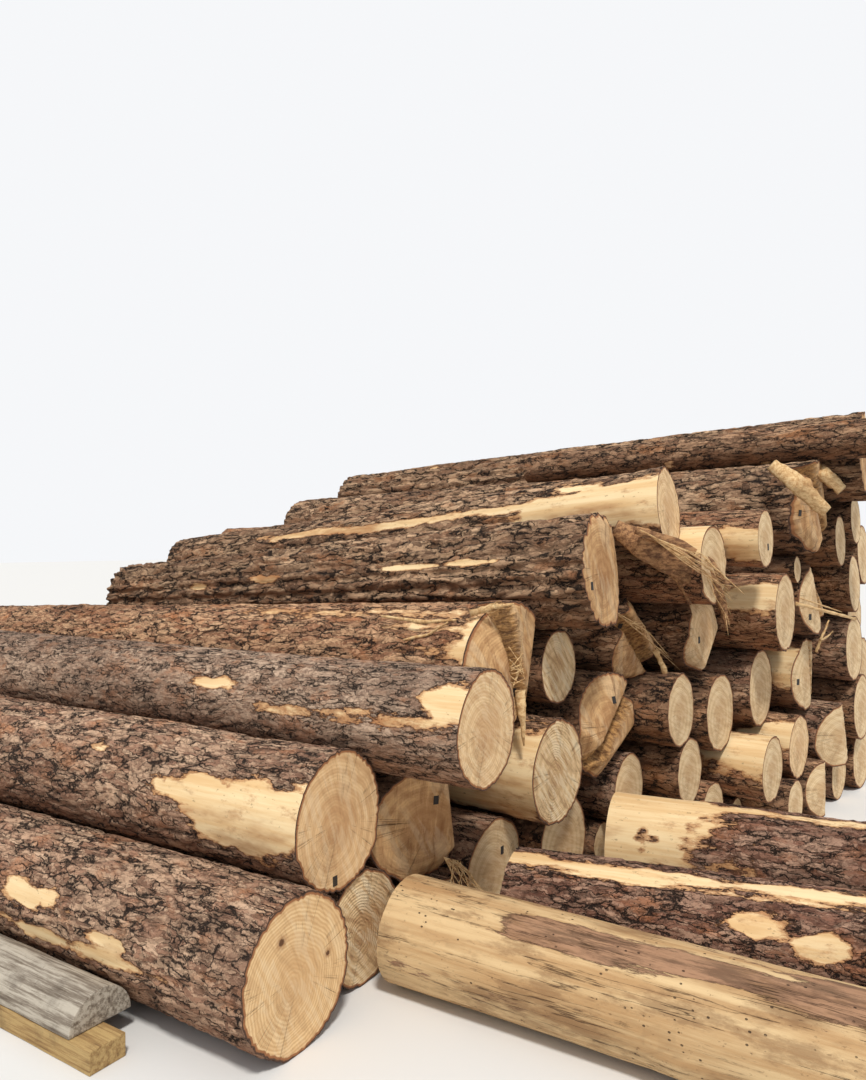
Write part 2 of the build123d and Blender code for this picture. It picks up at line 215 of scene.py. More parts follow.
def plates(turn, y, round_log, width, length, seed):
    """Distance in metres from the nearest crack between bark plates, and a number for each plate."""
    period = max(4, int(round(round_log / width)))
    width = round_log / period
    u, v = turn * period, y / length
    iu, iv = np.floor(u), np.floor(v)
    first, second = np.full(u.shape, FAR), np.full(u.shape, FAR)
    which = np.zeros(u.shape)
    spots = np.zeros((4,) + u.shape)
    for du in (-1, 0, 1):
        for dv in (-1, 0, 1):
            cu, cv = iu + du, iv + dv
            h1, h2 = hashed(cu % period, cv, seed), hashed(cu % period, cv, seed + 17)
            pu = cu + 0.5 + PLATE_JITTER * (2 * h1 - 1)
            pv = cv + 0.5 + PLATE_JITTER * (2 * h2 - 1)
            dist = np.hypot(u - pu, v - pv)
            closer, next_one = dist < first, (dist >= first) & (dist < second)
            spots[2:] = np.where(closer, spots[:2], np.where(next_one, (pu, pv), spots[2:]))
            second = np.where(closer, first, np.where(next_one, dist, second))
            spots[:2] = np.where(closer, (pu, pv), spots[:2])
            first = np.where(closer, dist, first)
            which = np.where(closer, hashed(cu % period, cv, seed + 31), which)
    steep = np.hypot((spots[0] - spots[2]) / width, (spots[1] - spots[3]) / length)
    return (second ** 2 - first ** 2) / 2 / np.maximum(steep, 1e-3), which


def step(low, high, x):
    """Runs smoothly from 0 to 1 while x runs from low to high."""
    t = np.clip((x - low) / (high - low), 0, 1)
    return t * t * (3 - 2 * t)


def linear(rgb):
    """A colour as the photo shows it, 0 to 255 a channel, in linear light with alpha 1."""
    shares = [c / 255 for c in rgb]
    return tuple(c / 12.92 if c < 0.04045 else ((c + 0.055) / 1.055) ** 2.4 for c in shares) + (1.0,)


class Tree:
    """The nodes of one material. Colours are sockets or (r, g, b) of 0 to 255."""

    def __init__(self, name):
        self.material = bpy.data.materials.new(name)
        self.material.use_nodes = True
        self.tree = self.material.node_tree
        self.tree.nodes.clear()
        out = self.node("OutputMaterial")
        self.shader = self.node("BsdfPrincipled")
        self.link(self.shader.outputs[0], out.inputs[0])

    def link(self, a, b):
        self.tree.links.new(a, b)

    def put(self, socket, value):
        if isinstance(value, bpy.types.NodeSocket):
            self.link(value, socket)
        else:
            socket.default_value = value

    def node(self, kind, **props):
        n = self.tree.nodes.new("ShaderNode" + kind)
        for k, v in props.items():
            setattr(n, k, v)
        return n

    def texture(self, kind, where, values, **props):
        """The outputs of a node that reads coordinates, with plain values for its other inputs."""
        n = self.node(kind, **props)
        self.put(n.inputs["Vector"], where)
        for k, v in values.items():
            n.inputs[k].default_value = v
        return n.outputs

    def math(self, op, a, b=0.0, c=0.0, clamp=False):
        n = self.node("Math", operation=op, use_clamp=clamp)
        for s, v in zip(n.inputs, (a, b, c)):
            self.put(s, v)
        return n.outputs[0]

    def vector(self, op, a, b=(0, 0, 0), scale=1.0):
        n = self.node("VectorMath", operation=op)
        self.put(n.inputs[0], a)
        self.put(n.inputs[1], b)
        if op == "SCALE":
            self.put(n.inputs[3], scale)
        return n.outputs["Value" if op == "LENGTH" else 0]

    def mapped(self, where, scale=(1, 1, 1), turn=(0, 0, 0)):
        return self.texture("Mapping", where, {"Scale": scale, "Rotation": turn})[0]

    def place(self, scale=(1, 1, 1), turn=(0, 0, 0)):
        """The piece's own coordinates, squeezed along some axes and turned."""
        return self.mapped(self.node("TexCoord").outputs["Object"], scale, turn)

    def along(self, share):
        """Coordinates with the log's length squeezed to a share, which draws a pattern out along it."""
        return self.place((1, share, 1))

    def noise(self, where, scale, detail=6.0, rough=0.6, warp=0.0, colour=False):
        values = {"Scale": scale, "Detail": detail, "Roughness": rough, "Distortion": warp}
        return self.texture("TexNoise", where, values)["Color" if colour else "Fac"]

    def cells(self, where, scale, feature="F1", out="Distance"):
        return self.texture("TexVoronoi", where, {"Scale": scale}, feature=feature)[out]

    def rings(self, where, scale, warp, detail):
        values = {"Scale": scale, "Distortion": warp, "Detail": detail, "Detail Scale": 1.2}
        kind = dict(wave_type="RINGS", rings_direction="Y")
        return self.texture("TexWave", where, values, **kind)["Fac"]

    def ramp(self, x, low, high, a=0.0, b=1.0):
        """Runs smoothly from a to b while x runs from low to high."""
        n = self.node("MapRange", interpolation_type="SMOOTHSTEP")
        self.put(n.inputs["Value"], x)
        for k, v in zip(("From Min", "From Max", "To Min", "To Max"), (low, high, a, b)):
            n.inputs[k].default_value = v
        return n.outputs[0]

    def mix(self, share, a, b):
        n = self.node("Mix", data_type="RGBA")
        for socket, value in ((n.inputs[0], share), (n.inputs[6], a), (n.inputs[7], b)):
            self.put(socket, linear(value) if isinstance(value, tuple) else value)
        return n.outputs[2]

    def lay(self, under, x, low, high, colour, share=1.0):
        """A colour over another, up to a share, while x runs from low to high."""
        return self.mix(self.ramp(x, low, high, 0.0, share), under, colour)

    def cover(self, under, x, colour, share):
        """A colour over another by a share of x."""
        return self.mix(self.math("MULTIPLY", x, share), under, colour)

    def total(self, first, *others):
        """The sum of some values, each given with its share."""
        total = self.math("MULTIPLY", *first)
        for x, share in others:
            total = self.math("ADD", total, self.math("MULTIPLY", x, share))
        return total

    def fray(self, x, noise, spread):
        """x moved up and down by a noise, over a spread."""
        return self.math("ADD", x, self.math("MULTIPLY_ADD", noise, spread, -spread / 2))

    def lines(self, noise, width):
        """Thin lines where a noise passes through its middle."""
        return self.ramp(self.math("ABSOLUTE", self.math("SUBTRACT", noise, 0.5)), width, 0.0)

    def split(self, colour):
        n = self.node("SeparateColor")
        self.link(colour, n.inputs[0])
        return n.outputs

    def attribute(self, name):
        return self.node("Attribute", attribute_name=name).outputs["Fac"]

    def bump(self, height, distance):
        n = self.node("Bump")
        self.put(n.inputs["Height"], height)
        n.inputs["Distance"].default_value = distance
        n.inputs["Strength"].default_value = 1.0
        return n.outputs[0]

    def finish(self, colour, roughness, normal):
        self.put(self.shader.inputs["Base Color"], colour)
        self.put(self.shader.inputs["Roughness"], roughness)
        self.shader.inputs["Specular IOR Level"].default_value = WOOD_SPECULAR
        self.link(normal, self.shader.inputs["Normal"])
        return self.material

    def paint(self, colour, roughness):
        """One plain colour, in linear light."""
        self.put(self.shader.inputs["Base Color"], colour)
        self.shader.inputs["Roughness"].default_value = roughness
        return self.material


WOOD_SPECULAR = 0.25
PEELED_WOOD = ((240, 214, 168), (222, 184, 132), (176, 128, 84))
SMALL_FLAKES = 2.4  # small flakes to a large one, along one axis


def wood_colour(t, pale, tan, brown):
    """Long grain of peeled wood with streaks and small dark flecks, and the streaks by themselves."""
    streak = t.noise(t.along(0.05), 22, 6, 0.65)
    broad = t.noise(t.along(0.3), 5, 5, 0.6)
    fleck = t.ramp(t.noise(t.along(0.5), 60, 4, 0.7), 0.62, 0.7)
    c = t.lay(pale, streak, 0.35, 0.65, tan)
    c = t.lay(c, broad, 0.52, 0.72, brown)
    return t.cover(c, fleck, (92, 60, 36), 0.5), streak


def bark_material(name, dark, mid, light, red, flake, depth=0.012):
    """Flaky pine bark over peeled wood, told apart by the mesh's peel values; flake is cells a metre."""
    t = Tree("bark_" + name)
    crack, peel, tint = t.attribute("crack"), t.attribute("peel"), t.attribute("tint")
    wander = t.vector("SCALE", t.noise(t.along(0.5), 7, 3, 0.6, colour=True), scale=0.08)
    ragged_edge = t.vector("SCALE", t.noise(t.place(), 42, 4, 0.7, colour=True), scale=0.022)
    warp = t.vector("ADD", wander, ragged_edge)
    moved = t.vector("ADD", t.along(0.24), warp)
    moved_small = t.vector("ADD", t.along(0.36), warp)
    edge = t.cells(moved, flake, "DISTANCE_TO_EDGE")
    small_edge = t.cells(moved_small, flake * SMALL_FLAKES, "DISTANCE_TO_EDGE")
    large_number = t.split(t.cells(moved, flake, out="Color"))
    small_number = t.split(t.cells(moved_small, flake * SMALL_FLAKES, out="Color"))
    broad = t.noise(t.along(0.35), 3.2, 6, 0.6)
    fine = t.noise(t.along(0.5), 95, 8, 0.75)
    patch = t.noise(t.along(0.5), 9, 6, 0.65, warp=0.4)

    # Each flake's own colour, then patches, dirt and grain over the flakes.
    c = t.lay(mid, large_number[0], 0.1, 0.9, light)
    c = t.lay(c, small_number[0], 0.45, 0.9, dark, 0.75)
    c = t.lay(c, small_number[1], 0.6, 0.95, light, 0.7)
    c = t.lay(c, patch, 0.5, 0.68, red, 0.75)
    c = t.lay(c, broad, 0.6, 0.35, dark, 0.5)
    c = t.lay(c, fine, 0.54, 0.68, light, 0.75)
    c = t.lay(c, fine, 0.46, 0.34, dark, 0.8)
    c = t.lay(c, tint, 0.6, 1.0, light, 0.3)

    # Painted shade with painted warm bounce light: the underside is darker and redder.
    shade_facing = t.node("SeparateXYZ")
    t.link(t.node("TexCoord").outputs["Normal"], shade_facing.inputs[0])
    c = t.lay(c, shade_facing.outputs[2], 0.1, -0.6, t.mix(0.35, dark, red), 0.6)

    # Dark cracks between the flakes, and in the mesh's own cracks: partly the bark's own dark colour,
    # partly painted shade in these recesses.
    width = t.ramp(t.noise(t.along(0.4), 21, 4, 0.6), 0.38, 0.6, 0.15, 0.012)
    groove = t.math("DIVIDE", edge, width, clamp=True)
    small_groove = t.math("DIVIDE", small_edge, width, clamp=True)
    groove = t.math("MULTIPLY", groove, t.ramp(small_groove, 0.0, 1.0, 0.55, 1.0))
    c = t.lay(c, groove, 0.75, 0.15, (34, 24, 19), 0.95)
    c = t.lay(c, crack, 0.5, 0.0, (36, 27, 22), 0.4)

    # Bare wood in ragged patches, with remnants of bast on it and an edge of bast round it.
    bare, streak = wood_colour(t, *PEELED_WOOD)
    shred = t.noise(t.along(0.3), 30, 8, 0.75)
    ragged = t.fray(t.fray(peel, shred, 3.0), patch, 1.6)
    ragged = t.math("SUBTRACT", ragged, t.ramp(peel, 0.12, 0.0, 0.0, 2.0))
    ragged = t.math("ADD", ragged, t.ramp(peel, 0.6, 0.95, 0.0, 0.6))
    remnant = t.mix(t.ramp(fine, 0.4, 0.6), (150, 98, 62), (190, 136, 90))
    bare = t.lay(bare, ragged, 1.0, 0.6, remnant, 0.8)
    bare = t.lay(bare, t.noise(t.along(0.4), 13, 8, 0.72), 0.54, 0.68, remnant, 0.6)
    c = t.lay(c, ragged, 0.34, 0.42, (128, 82, 54))
    c = t.lay(c, ragged, 0.44, 0.54, bare)

    on_wood = t.ramp(ragged, 0.3, 0.5)
    relief = t.node("Mix", data_type="FLOAT")
    t.put(relief.inputs[0], on_wood)
    flaky = t.total((groove, 0.7), (large_number[1], 0.55), (small_number[2], 0.4), (fine, 0.5))
    t.put(relief.inputs[2], flaky)
    t.put(relief.inputs[3], t.math("MULTIPLY_ADD", streak, 0.15, -0.6))
    return t.finish(c, t.ramp(on_wood, 0, 1, 0.92, 0.72), t.bump(relief.outputs[0], depth))


def end_material(name, pale, tan, heart, saw=0.9, stroke_scale=55.0, stroke_depth=0.0015, dirt=0.5,
                 ringed=0.55, strokes=0.22, fibrous=0.0, knots=()):
    """A cut end: growth rings, saw strokes at a turn, radial checks, smears, torn fibre, a rim of bark."""
    t = Tree("end_" + name)
    flat = t.along(0)
    rim, torn = t.attribute("rim"), t.attribute("torn")
    warp = t.noise(flat, 5, 3, 0.5, colour=True)
    moved = t.vector("ADD", flat, t.vector("SCALE", warp, scale=0.06))
    rings = t.rings(moved, 26, 1.2, 3.0)
    stroke = t.mapped(t.place((1, 0, 1), (0, saw, 0)), (1, 1, 0.16))
    bands = t.noise(stroke, stroke_scale, 3, 0.6, warp=0.3)
    fine = t.noise(t.place(), 120, 6, 0.7)
    cloud = t.noise(t.place(), 6, 6, 0.62)
    smear = t.noise(t.place((1, 1, 3), (0, saw, 0)), 9, 6, 0.65)
    c = t.lay(pale, rings, 0.2, 0.9, tan, ringed)
    c = t.lay(c, t.rings(moved, 7, 1.0, 2.0), 0.3, 0.9, heart, 0.35)
    c = t.lay(c, rim, 0.62, 0.25, heart, 0.55)
    c = t.lay(c, smear, 0.42, 0.75, heart, dirt)
    c = t.lay(c, cloud, 0.52, 0.75, (150, 112, 78), dirt)
    c = t.lay(c, bands, 0.5, 0.6, (240, 220, 184), strokes)
    c = t.lay(c, bands, 0.48, 0.38, (160, 118, 80), strokes)
    c = t.lay(c, fine, 0.6, 0.8, (120, 84, 52), 0.4)

    spokes = t.lines(t.noise(t.vector("NORMALIZE", flat), 7.0, 3, 0.6), 0.006)
    check = t.math("MULTIPLY", spokes, t.ramp(rim, 0.15, 0.5))
    check = t.math("MULTIPLY", check, t.ramp(cloud, 0.45, 0.6))
    c = t.cover(c, check, (84, 56, 34), 0.8)
    grain = t.noise(t.place((1, 0.3, 0.12), (0, 0.3, 0)), 45, 7, 0.72)
    c = t.lay(c, grain, 0.5, 0.68, (132, 86, 52), fibrous)
    c = t.lay(c, grain, 0.46, 0.3, (226, 186, 134), fibrous)
    fibre = t.noise(t.along(0.08), 60, 6, 0.7)
    c = t.cover(c, torn, t.mix(t.ramp(fibre, 0.35, 0.65), (96, 60, 34), (206, 156, 96)), 0.85)

    edge = t.fray(rim, fine, 0.03)
    c = t.lay(c, edge, 0.935, 0.955, (156, 106, 70))
    c = t.lay(c, edge, 0.968, 0.985, (84, 62, 50))
    for x, z, size in knots:
        near = t.fray(t.vector("LENGTH", t.vector("SUBTRACT", flat, (x, 0, z))), fine, 0.012)
        c = t.lay(c, near, 2.2 * size, size, (150, 100, 62), 0.5)
        c = t.lay(c, near, size, 0.6 * size, (84, 52, 34), 0.9)
    height = t.total((bands, 1.2), (rings, 0.25), (fine, 0.6), (grain, 3.0 * fibrous), (check, -1.5),
                     (t.math("MULTIPLY", fibre, torn), 6.0))
    return t.finish(c, 0.82, t.bump(height, stroke_depth))


def bare_material(name, pale, tan, brown, red):
    """Weathered wood without bark: streaks, reddish bast, stains, checks and beetle holes."""
    t = Tree(name)
    c, streak = wood_colour(t, pale, tan, brown)
    broad = t.noise(t.along(0.22), 6.5, 6, 0.65, warp=0.5)
    shred = t.noise(t.along(0.12), 40, 8, 0.75)
    bast = t.fray(t.fray(t.attribute("tint"), shred, 2.6), broad, 2.2)
    c = t.lay(c, bast, 0.3, 0.5, t.lay(red, shred, 0.4, 0.6, (166, 126, 98)), 0.92)
    stain = t.noise(t.along(0.3), 8, 7, 0.72)
    c = t.lay(c, stain, 0.5, 0.62, (136, 102, 70), 0.6)
    check = t.lines(t.noise(t.along(0.035), 26, 4, 0.55), 0.012)
    check = t.math("MULTIPLY", check, t.ramp(stain, 0.42, 0.6))
    c = t.cover(c, check, (84, 58, 38), 0.8)
    holes = t.ramp(t.cells(t.along(0.7), 48), 0.17, 0.1)
    holes = t.math("MULTIPLY", holes, t.ramp(t.noise(t.place(), 9, 3), 0.5, 0.6))
    c = t.cover(c, holes, (52, 36, 26), 0.85)
    c = t.lay(c, t.attribute("crack"), 0.6, 0.1, (92, 64, 42), 0.45)
    height = t.total((streak, 0.6), (t.noise(t.along(0.15), 90, 6, 0.7), 0.5),
                     (t.ramp(bast, 0.35, 0.6), 0.8), (t.math("MAXIMUM", holes, check), -1.4))
    return t.finish(c, 0.75, t.bump(height, 0.003))


def timber_material(name, pale, tan, dark, tilt):
    """Sawn or split wood, with its grain turned by tilt about the vertical."""
    t = Tree(name)
    turned = t.place(turn=(0, 0, tilt))
    grain = t.noise(t.mapped(turned, (1, 0.05, 1)), 60, 8, 0.75)
    spot = t.noise(turned, 40, 6, 0.7)
    c = t.lay(pale, grain, 0.42, 0.58, tan)
    c = t.lay(c, grain, 0.56, 0.68, dark, 0.7)
    c = t.lay(c, t.noise(turned, 6, 6, 0.65), 0.5, 0.75, dark, 0.6)
    c = t.lay(c, spot, 0.6, 0.75, dark, 0.5)
    return t.finish(c, 0.85, t.bump(t.total((grain, 1.0), (spot, 0.4)), 0.003))


plum = bark_material("plum", (109, 78, 62), (172, 131, 106), (216, 180, 149), (181, 122, 84), 36)
grey = bark_material("grey", (112, 86, 71), (167, 134, 110), (205, 175, 149), (180, 121, 82), 52, 0.009)
rust = bark_material("rust", (113, 74, 53), (176, 127, 96), (220, 176, 136), (193, 125, 80), 38, 0.010)
deep = bark_material("deep", (92, 65, 49), (155, 118, 91), (214, 176, 140), (168, 112, 73), 22, 0.018)
wine = bark_material("wine", (90, 59, 47), (149, 106, 86), (195, 157, 132), (172, 110, 71), 36)
dusk = bark_material("dusk", (90, 63, 47), (149, 110, 84), (200, 159, 124), (172, 114, 71), 34)
cream = bare_material("wood_cream", (218, 188, 142), (184, 146, 102), (130, 94, 62), (110, 80, 62))

fresh = end_material("fresh", (236, 206, 160), (216, 176, 128), (192, 148, 104))
ringed = end_material("ringed", (234, 200, 150), (200, 156, 108), (204, 162, 114), 0.5, 30, 0.001,
                      dirt=0.3, ringed=0.6, knots=((-0.077, 0.129, 0.014), (0.139, 0.012, 0.01)))
warm = end_material("warm", (230, 194, 146), (206, 164, 116), (184, 138, 94), 0.35, 26, 0.0014,
                    dirt=0.45, ringed=0.35)
dusty = end_material("dusty", (226, 200, 158), (206, 174, 130), (186, 148, 106), 1.2, 40, 0.001,
                     dirt=0.4, ringed=0.5)
sawn = end_material("sawn", (234, 204, 158), (212, 174, 126), (186, 146, 102), 0.75, 30, 0.007,
                    dirt=0.4, ringed=0.2, strokes=0.6)
torn = end_material("torn", (214, 172, 122), (184, 140, 94), (156, 110, 70), 0.5, 16, 0.003,
                    dirt=0.7, ringed=0.2, fibrous=0.6)


# Building a log. Its mesh is this fine, in metres, at a look's "fine" of 1.
ROUND_STEP, LONG_STEP = 0.0135, 0.027
ROUND_LEAST, ROUND_MOST, LONG_LEAST = 28, 128, 24
# How far each log is out of round, flared at its butt, bent and wavy.
LOBES, FLARE, FLARE_REACH, BEND, WOBBLE = 0.012, 0.006, 0.22, 0.004, 0.006
KNOTS, KNOT_HEIGHT = 3, 0.011
END_ROUGH, TORN_DEPTH, FLOOR_GAP = 0.0014, 0.012, 0.0006
# The rings of a cut end, as shares of its outline, closer together on a felled one.
END_RINGS = [0.975, 0.93, 0.86, 0.77, 0.67, 0.56, 0.45, 0.34, 0.23, 0.12]
FACET_RINGS = [0.985] + list(np.linspace(0.95, 0.05, 19))


def off(theta, centre):
    """Degrees round the log from a centre line."""
    return (np.degrees(theta)[None, :] - centre + 180) % 360 - 180


def peeled(look, theta, turn, y, wide, seed):
    """How far the wood is bare, 0 to 1: patches, strips down the log and a share all over."""
    peel = np.zeros(y.shape)
    for centre, at, half_turn, half_long, *share in look.get("patches", ()):
        q = np.hypot(off(theta, centre) / half_turn, (y - at) / half_long)
        q = q + 0.8 * rough_noise(turn, y, wide / 0.09, 0.12, seed + 60, 5)
        peel = np.maximum(peel, step(1.6, 0.6, q) * (share[0] if share else 1))
    for centre, half_turn, y0, y1, *share in look.get("strips", ()):
        dt = off(theta, centre) + half_turn * 0.9 * rough_noise(turn * 0, y, 4, 0.5, seed + 70, 3)
        q = np.abs(dt) / half_turn + 0.9 * rough_noise(turn, y, wide / 0.07, 0.2, seed + 71, 5)
        inside = step(y0 - 0.1, y0 + 0.1, y) * step(y1 + 0.15, y1 - 0.15, y)
        peel = np.maximum(peel, step(1.7, 0.5, q) * inside * (share[0] if share else 1))
    if "bare" in look:
        peel = np.maximum(peel, look["bare"] * (0.75 + 0.5 * rough_noise(turn, y, 8, 0.5, seed + 80, 3)))
    return peel


def banded(bands, theta, turn, y, wide, seed):
    """Where bands of bast run down a bare log, 0 to 1."""
    tint = np.zeros(y.shape)
    for centre, half_turn, y0, y1 in bands:
        q = np.abs(off(theta, centre)) / half_turn
        q = q + 0.9 * rough_noise(turn, y, wide / 0.06, 0.3, seed + 75, 5)
        inside = step(y0 - 0.15, y0 + 0.15, y) * step(y1 + 0.12, y1 - 0.12, y)
        tint = np.maximum(tint, step(1.5, 0.5, q) * inside)
    return tint


def log_mesh(name, trunk, look):
    """One log's bark and ends, as a surface with the values that its materials read."""
    seed, length, r0, r1 = look["seed"], trunk.length, trunk.r0, trunk.r1
    rng = np.random.default_rng(seed)
    fine, relief, thick = look["fine"], look["relief"], look["thick"]
    around = 2 * math.pi * max(r0, r1) / (ROUND_STEP / fine)
    around = int(max(ROUND_LEAST, min(ROUND_MOST, around)))
    rows = int(max(LONG_LEAST, length / (LONG_STEP / fine)))
    theta = np.linspace(0, 2 * math.pi, around, endpoint=False)
    turn = (theta / (2 * math.pi))[None, :]
    outline = trunk.outline(theta)[None, :]
    ph = rng.uniform(0, 6.28, 4)
    s = np.linspace(0, 1, rows + 1)[:, None]

    def body(y):
        base = outline + trunk.widening * (1 - y / length)
        shape = np.cos(2 * theta[None, :] + ph[0] + y) + 0.7 * np.cos(3 * theta[None, :] + ph[1])
        flare = FLARE * np.exp(-y / FLARE_REACH)
        return base + r0 * (LOBES * shape - 0.5 * LOBES) + flare - 0.35 * relief

    widen = look.get("face_widening", 0.0)
    r_near = np.minimum(body(np.zeros((1, around))), trunk.limit(theta[None, :], 0.0) + widen)
    share = look.get("facet_share", 1.0)
    start = share * trunk.depth(r_near * np.cos(theta), r_near * np.sin(theta))
    ragged = look.get("ragged", 0.0)
    if ragged:
        start = start + ragged * np.clip(rough_noise(turn, 0 * turn, 14, 1, seed + 3, 4), 0, 1)
    y = start + (length - start) * s
    wide = 2 * math.pi * (r0 + r1) / 2
    swell = rough_noise(turn, y, 4, 0.45, seed + 5, 3)
    width, long = look["plate"]
    u_warp = 1.1 * rough_noise(turn, y, wide / 0.12, 0.10, seed + 9, 3) * width / wide
    v_warp = 0.4 * rough_noise(turn, y, wide / 0.10, 0.12, seed + 12, 3) * long
    warped = (turn + u_warp) % 1.0
    gap, which = plates(warped, y + v_warp, wide, width, long, seed + 20)
    gap2, which2 = plates(warped, y + v_warp, wide, width / 2, long / 2.2, seed + 40)
    crack = step(0.0, look.get("crack_width", 0.3) * width, gap)
    crack = crack * (0.7 + 0.3 * step(0.0, 0.12 * width, gap2))
    peel = peeled(look, theta, turn, y, wide, seed)
    tint = 0.6 * which + 0.4 * which2
    if "bands" in look:
        tint = banded(look["bands"], theta, turn, y, wide, seed)
    whole = body(y)
    for _ in range(KNOTS):
        kt, ky, size = rng.uniform(0, 360), rng.uniform(0.3, length - 0.2), rng.uniform(0.03, 0.06)
        dt = off(theta, kt) / 57.3 * whole
        q = np.hypot(dt, (y - ky) * 0.7) / size
        whole = whole + KNOT_HEIGHT * np.exp(-q * q)
        peel = np.maximum(peel, 0.75 * np.exp(-(q * 1.3) ** 4) * (rng.uniform() < 0.6))
    wavy = 0.35 * rough_noise(turn, y, wide / 0.05, 0.05, seed + 90, 3)
    bark = relief * (crack - 1.0) + relief * (0.5 * (which - 0.5) + wavy)
    radius = whole + WOBBLE * swell + bark * (1 - peel) - thick * peel
    radius = np.minimum(radius, trunk.limit(theta[None, :], y) + widen + bark)
    crack = np.maximum(crack, peel)
    bend = BEND * np.sin(math.pi * s)
    x = radius * np.cos(theta)[None, :] + bend * math.cos(ph[2])
    z = radius * np.sin(theta)[None, :] + bend * abs(math.sin(ph[2]))

    verts = [np.stack([x, y, z], -1).reshape(-1, 3)]
    side = verts[0].shape[0]
    attrs = {"crack": [crack.reshape(-1)], "peel": [peel.reshape(-1)], "tint": [tint.reshape(-1)],
             "rim": [np.ones(side)], "torn": [np.zeros(side)]}
    once = np.arange(around)
    i = np.arange(rows)[:, None] * around + once
    j = np.arange(rows)[:, None] * around + (once + 1) % around
    faces = [np.stack([i, j, j + around, i + around], -1).reshape(-1, 4)]
    slots = [np.zeros(len(faces[0]), int)]
    tris, tri_slots = [], []
    rings = FACET_RINGS if trunk.facets else END_RINGS
    count = side
    for far in (False, True):
        row = -1 if far else 0
        f = np.array(rings)[:, None]
        px, pz = f * x[row], f * z[row]
        back = 0 * px if far else share * trunk.depth(px, pz)
        rough = END_ROUGH * rough_noise(turn, f * 0.4, 10, 0.1, seed + 97, 3)
        back = back + rough * (0.4 + 2 * look.get("rough_end", 0.3))
        py = length - back if far else back
        blend = np.clip((f - 0.9) / 0.1, 0, 1)
        py = py * (1 - blend) + y[row] * blend
        verts.append(np.stack([px, py, pz], -1).reshape(-1, 3))
        verts.append(np.array([[0.0, float(py[-1].mean()), 0.0]]))
        n = len(rings) * around + 1
        torn = np.zeros(px.shape)
        if not far:
            for notch in trunk.notch_depths(px, pz):
                torn = np.clip(torn + np.clip(notch / TORN_DEPTH, 0, 1), 0, 1)
        attrs["rim"].append(np.append(np.repeat(rings, around), 0.0))
        attrs["torn"].append(np.append(torn.reshape(-1), 0.0))
        for k in ("crack", "tint", "peel"):
            attrs[k].append(np.ones(n))
        outer = (rows * around if far else 0) + once
        levels = [outer] + [count + k * around + once for k in range(len(rings))]
        for a, b in zip(levels[:-1], levels[1:]):
            a1, b1 = np.roll(a, -1), np.roll(b, -1)
            faces.append(np.stack([a, a1, b1, b] if far else [a, b, b1, a1], -1))
            slots.append(np.full(around, 1))
        last, centre = levels[-1], count + n - 1
        l1 = np.roll(last, -1)
        tri = np.stack([last, np.full(around, centre), l1], -1)
        tris.append(tri[:, ::-1] if far else tri)
        tri_slots.append(np.full(around, 1))
        count += n

    verts = np.concatenate(verts)
    height = trunk.start[2] + verts @ np.array([trunk.x[2], trunk.d[2], trunk.z[2]])
    verts[:, 2] += np.maximum(FLOOR_GAP - height, 0)
    quads, tris = np.concatenate(faces), np.concatenate(tris)
    mesh = bpy.data.meshes.new(name)
    mesh.from_pydata(verts.tolist(), [], quads.tolist() + tris.tolist())
    mesh.polygons.foreach_set("material_index", np.concatenate(slots + tri_slots).astype(np.int32))
    mesh.flip_normals()  # the faces above are listed as seen from inside
    mesh.polygons.foreach_set("use_smooth", np.ones(len(mesh.polygons), bool))
    for k, v in attrs.items():
        a = mesh.attributes.new(k, "FLOAT", "POINT")
        a.data.foreach_set("value", np.concatenate(v).astype(np.float32))
    ends = np.empty(len(mesh.edges) * 2, np.int32)
    mesh.edges.foreach_get("vertices", ends)
    ends = ends.reshape(-1, 2)
    sharp = ((ends < around).all(1)) | ((ends >= rows * around) & (ends < side)).all(1)
    a = mesh.attributes.new("sharp_edge", "BOOLEAN", "EDGE")
    a.data.foreach_set("value", sharp)
    obj = new_object(name, mesh)
    dv, at = Vector(trunk.d), trunk.start
    xv = dv.cross(Vector((0, 0, 1))).normalized()
    zv = xv.cross(dv)
    obj.matrix_world = Matrix(((xv.x, dv.x, zv.x, at[0]), (xv.y, dv.y, zv.y, at[1]),
                               (xv.z, dv.z, zv.z, at[2]), (0, 0, 0, 1)))
    mesh.materials.append(look["bark"])
    mesh.materials.append(look["end"])
    return obj


# The looks. A bark plate is given as its width and length; a patch as its middle round and along the
# log, its half sizes and how bare it is; a strip and a band as their middle, half width and two ends.
def skin(bark, end, plate, relief, thick, fine, **more):
    return dict(bark=bark, end=end, plate=plate, relief=relief, thick=thick, fine=fine, **more)


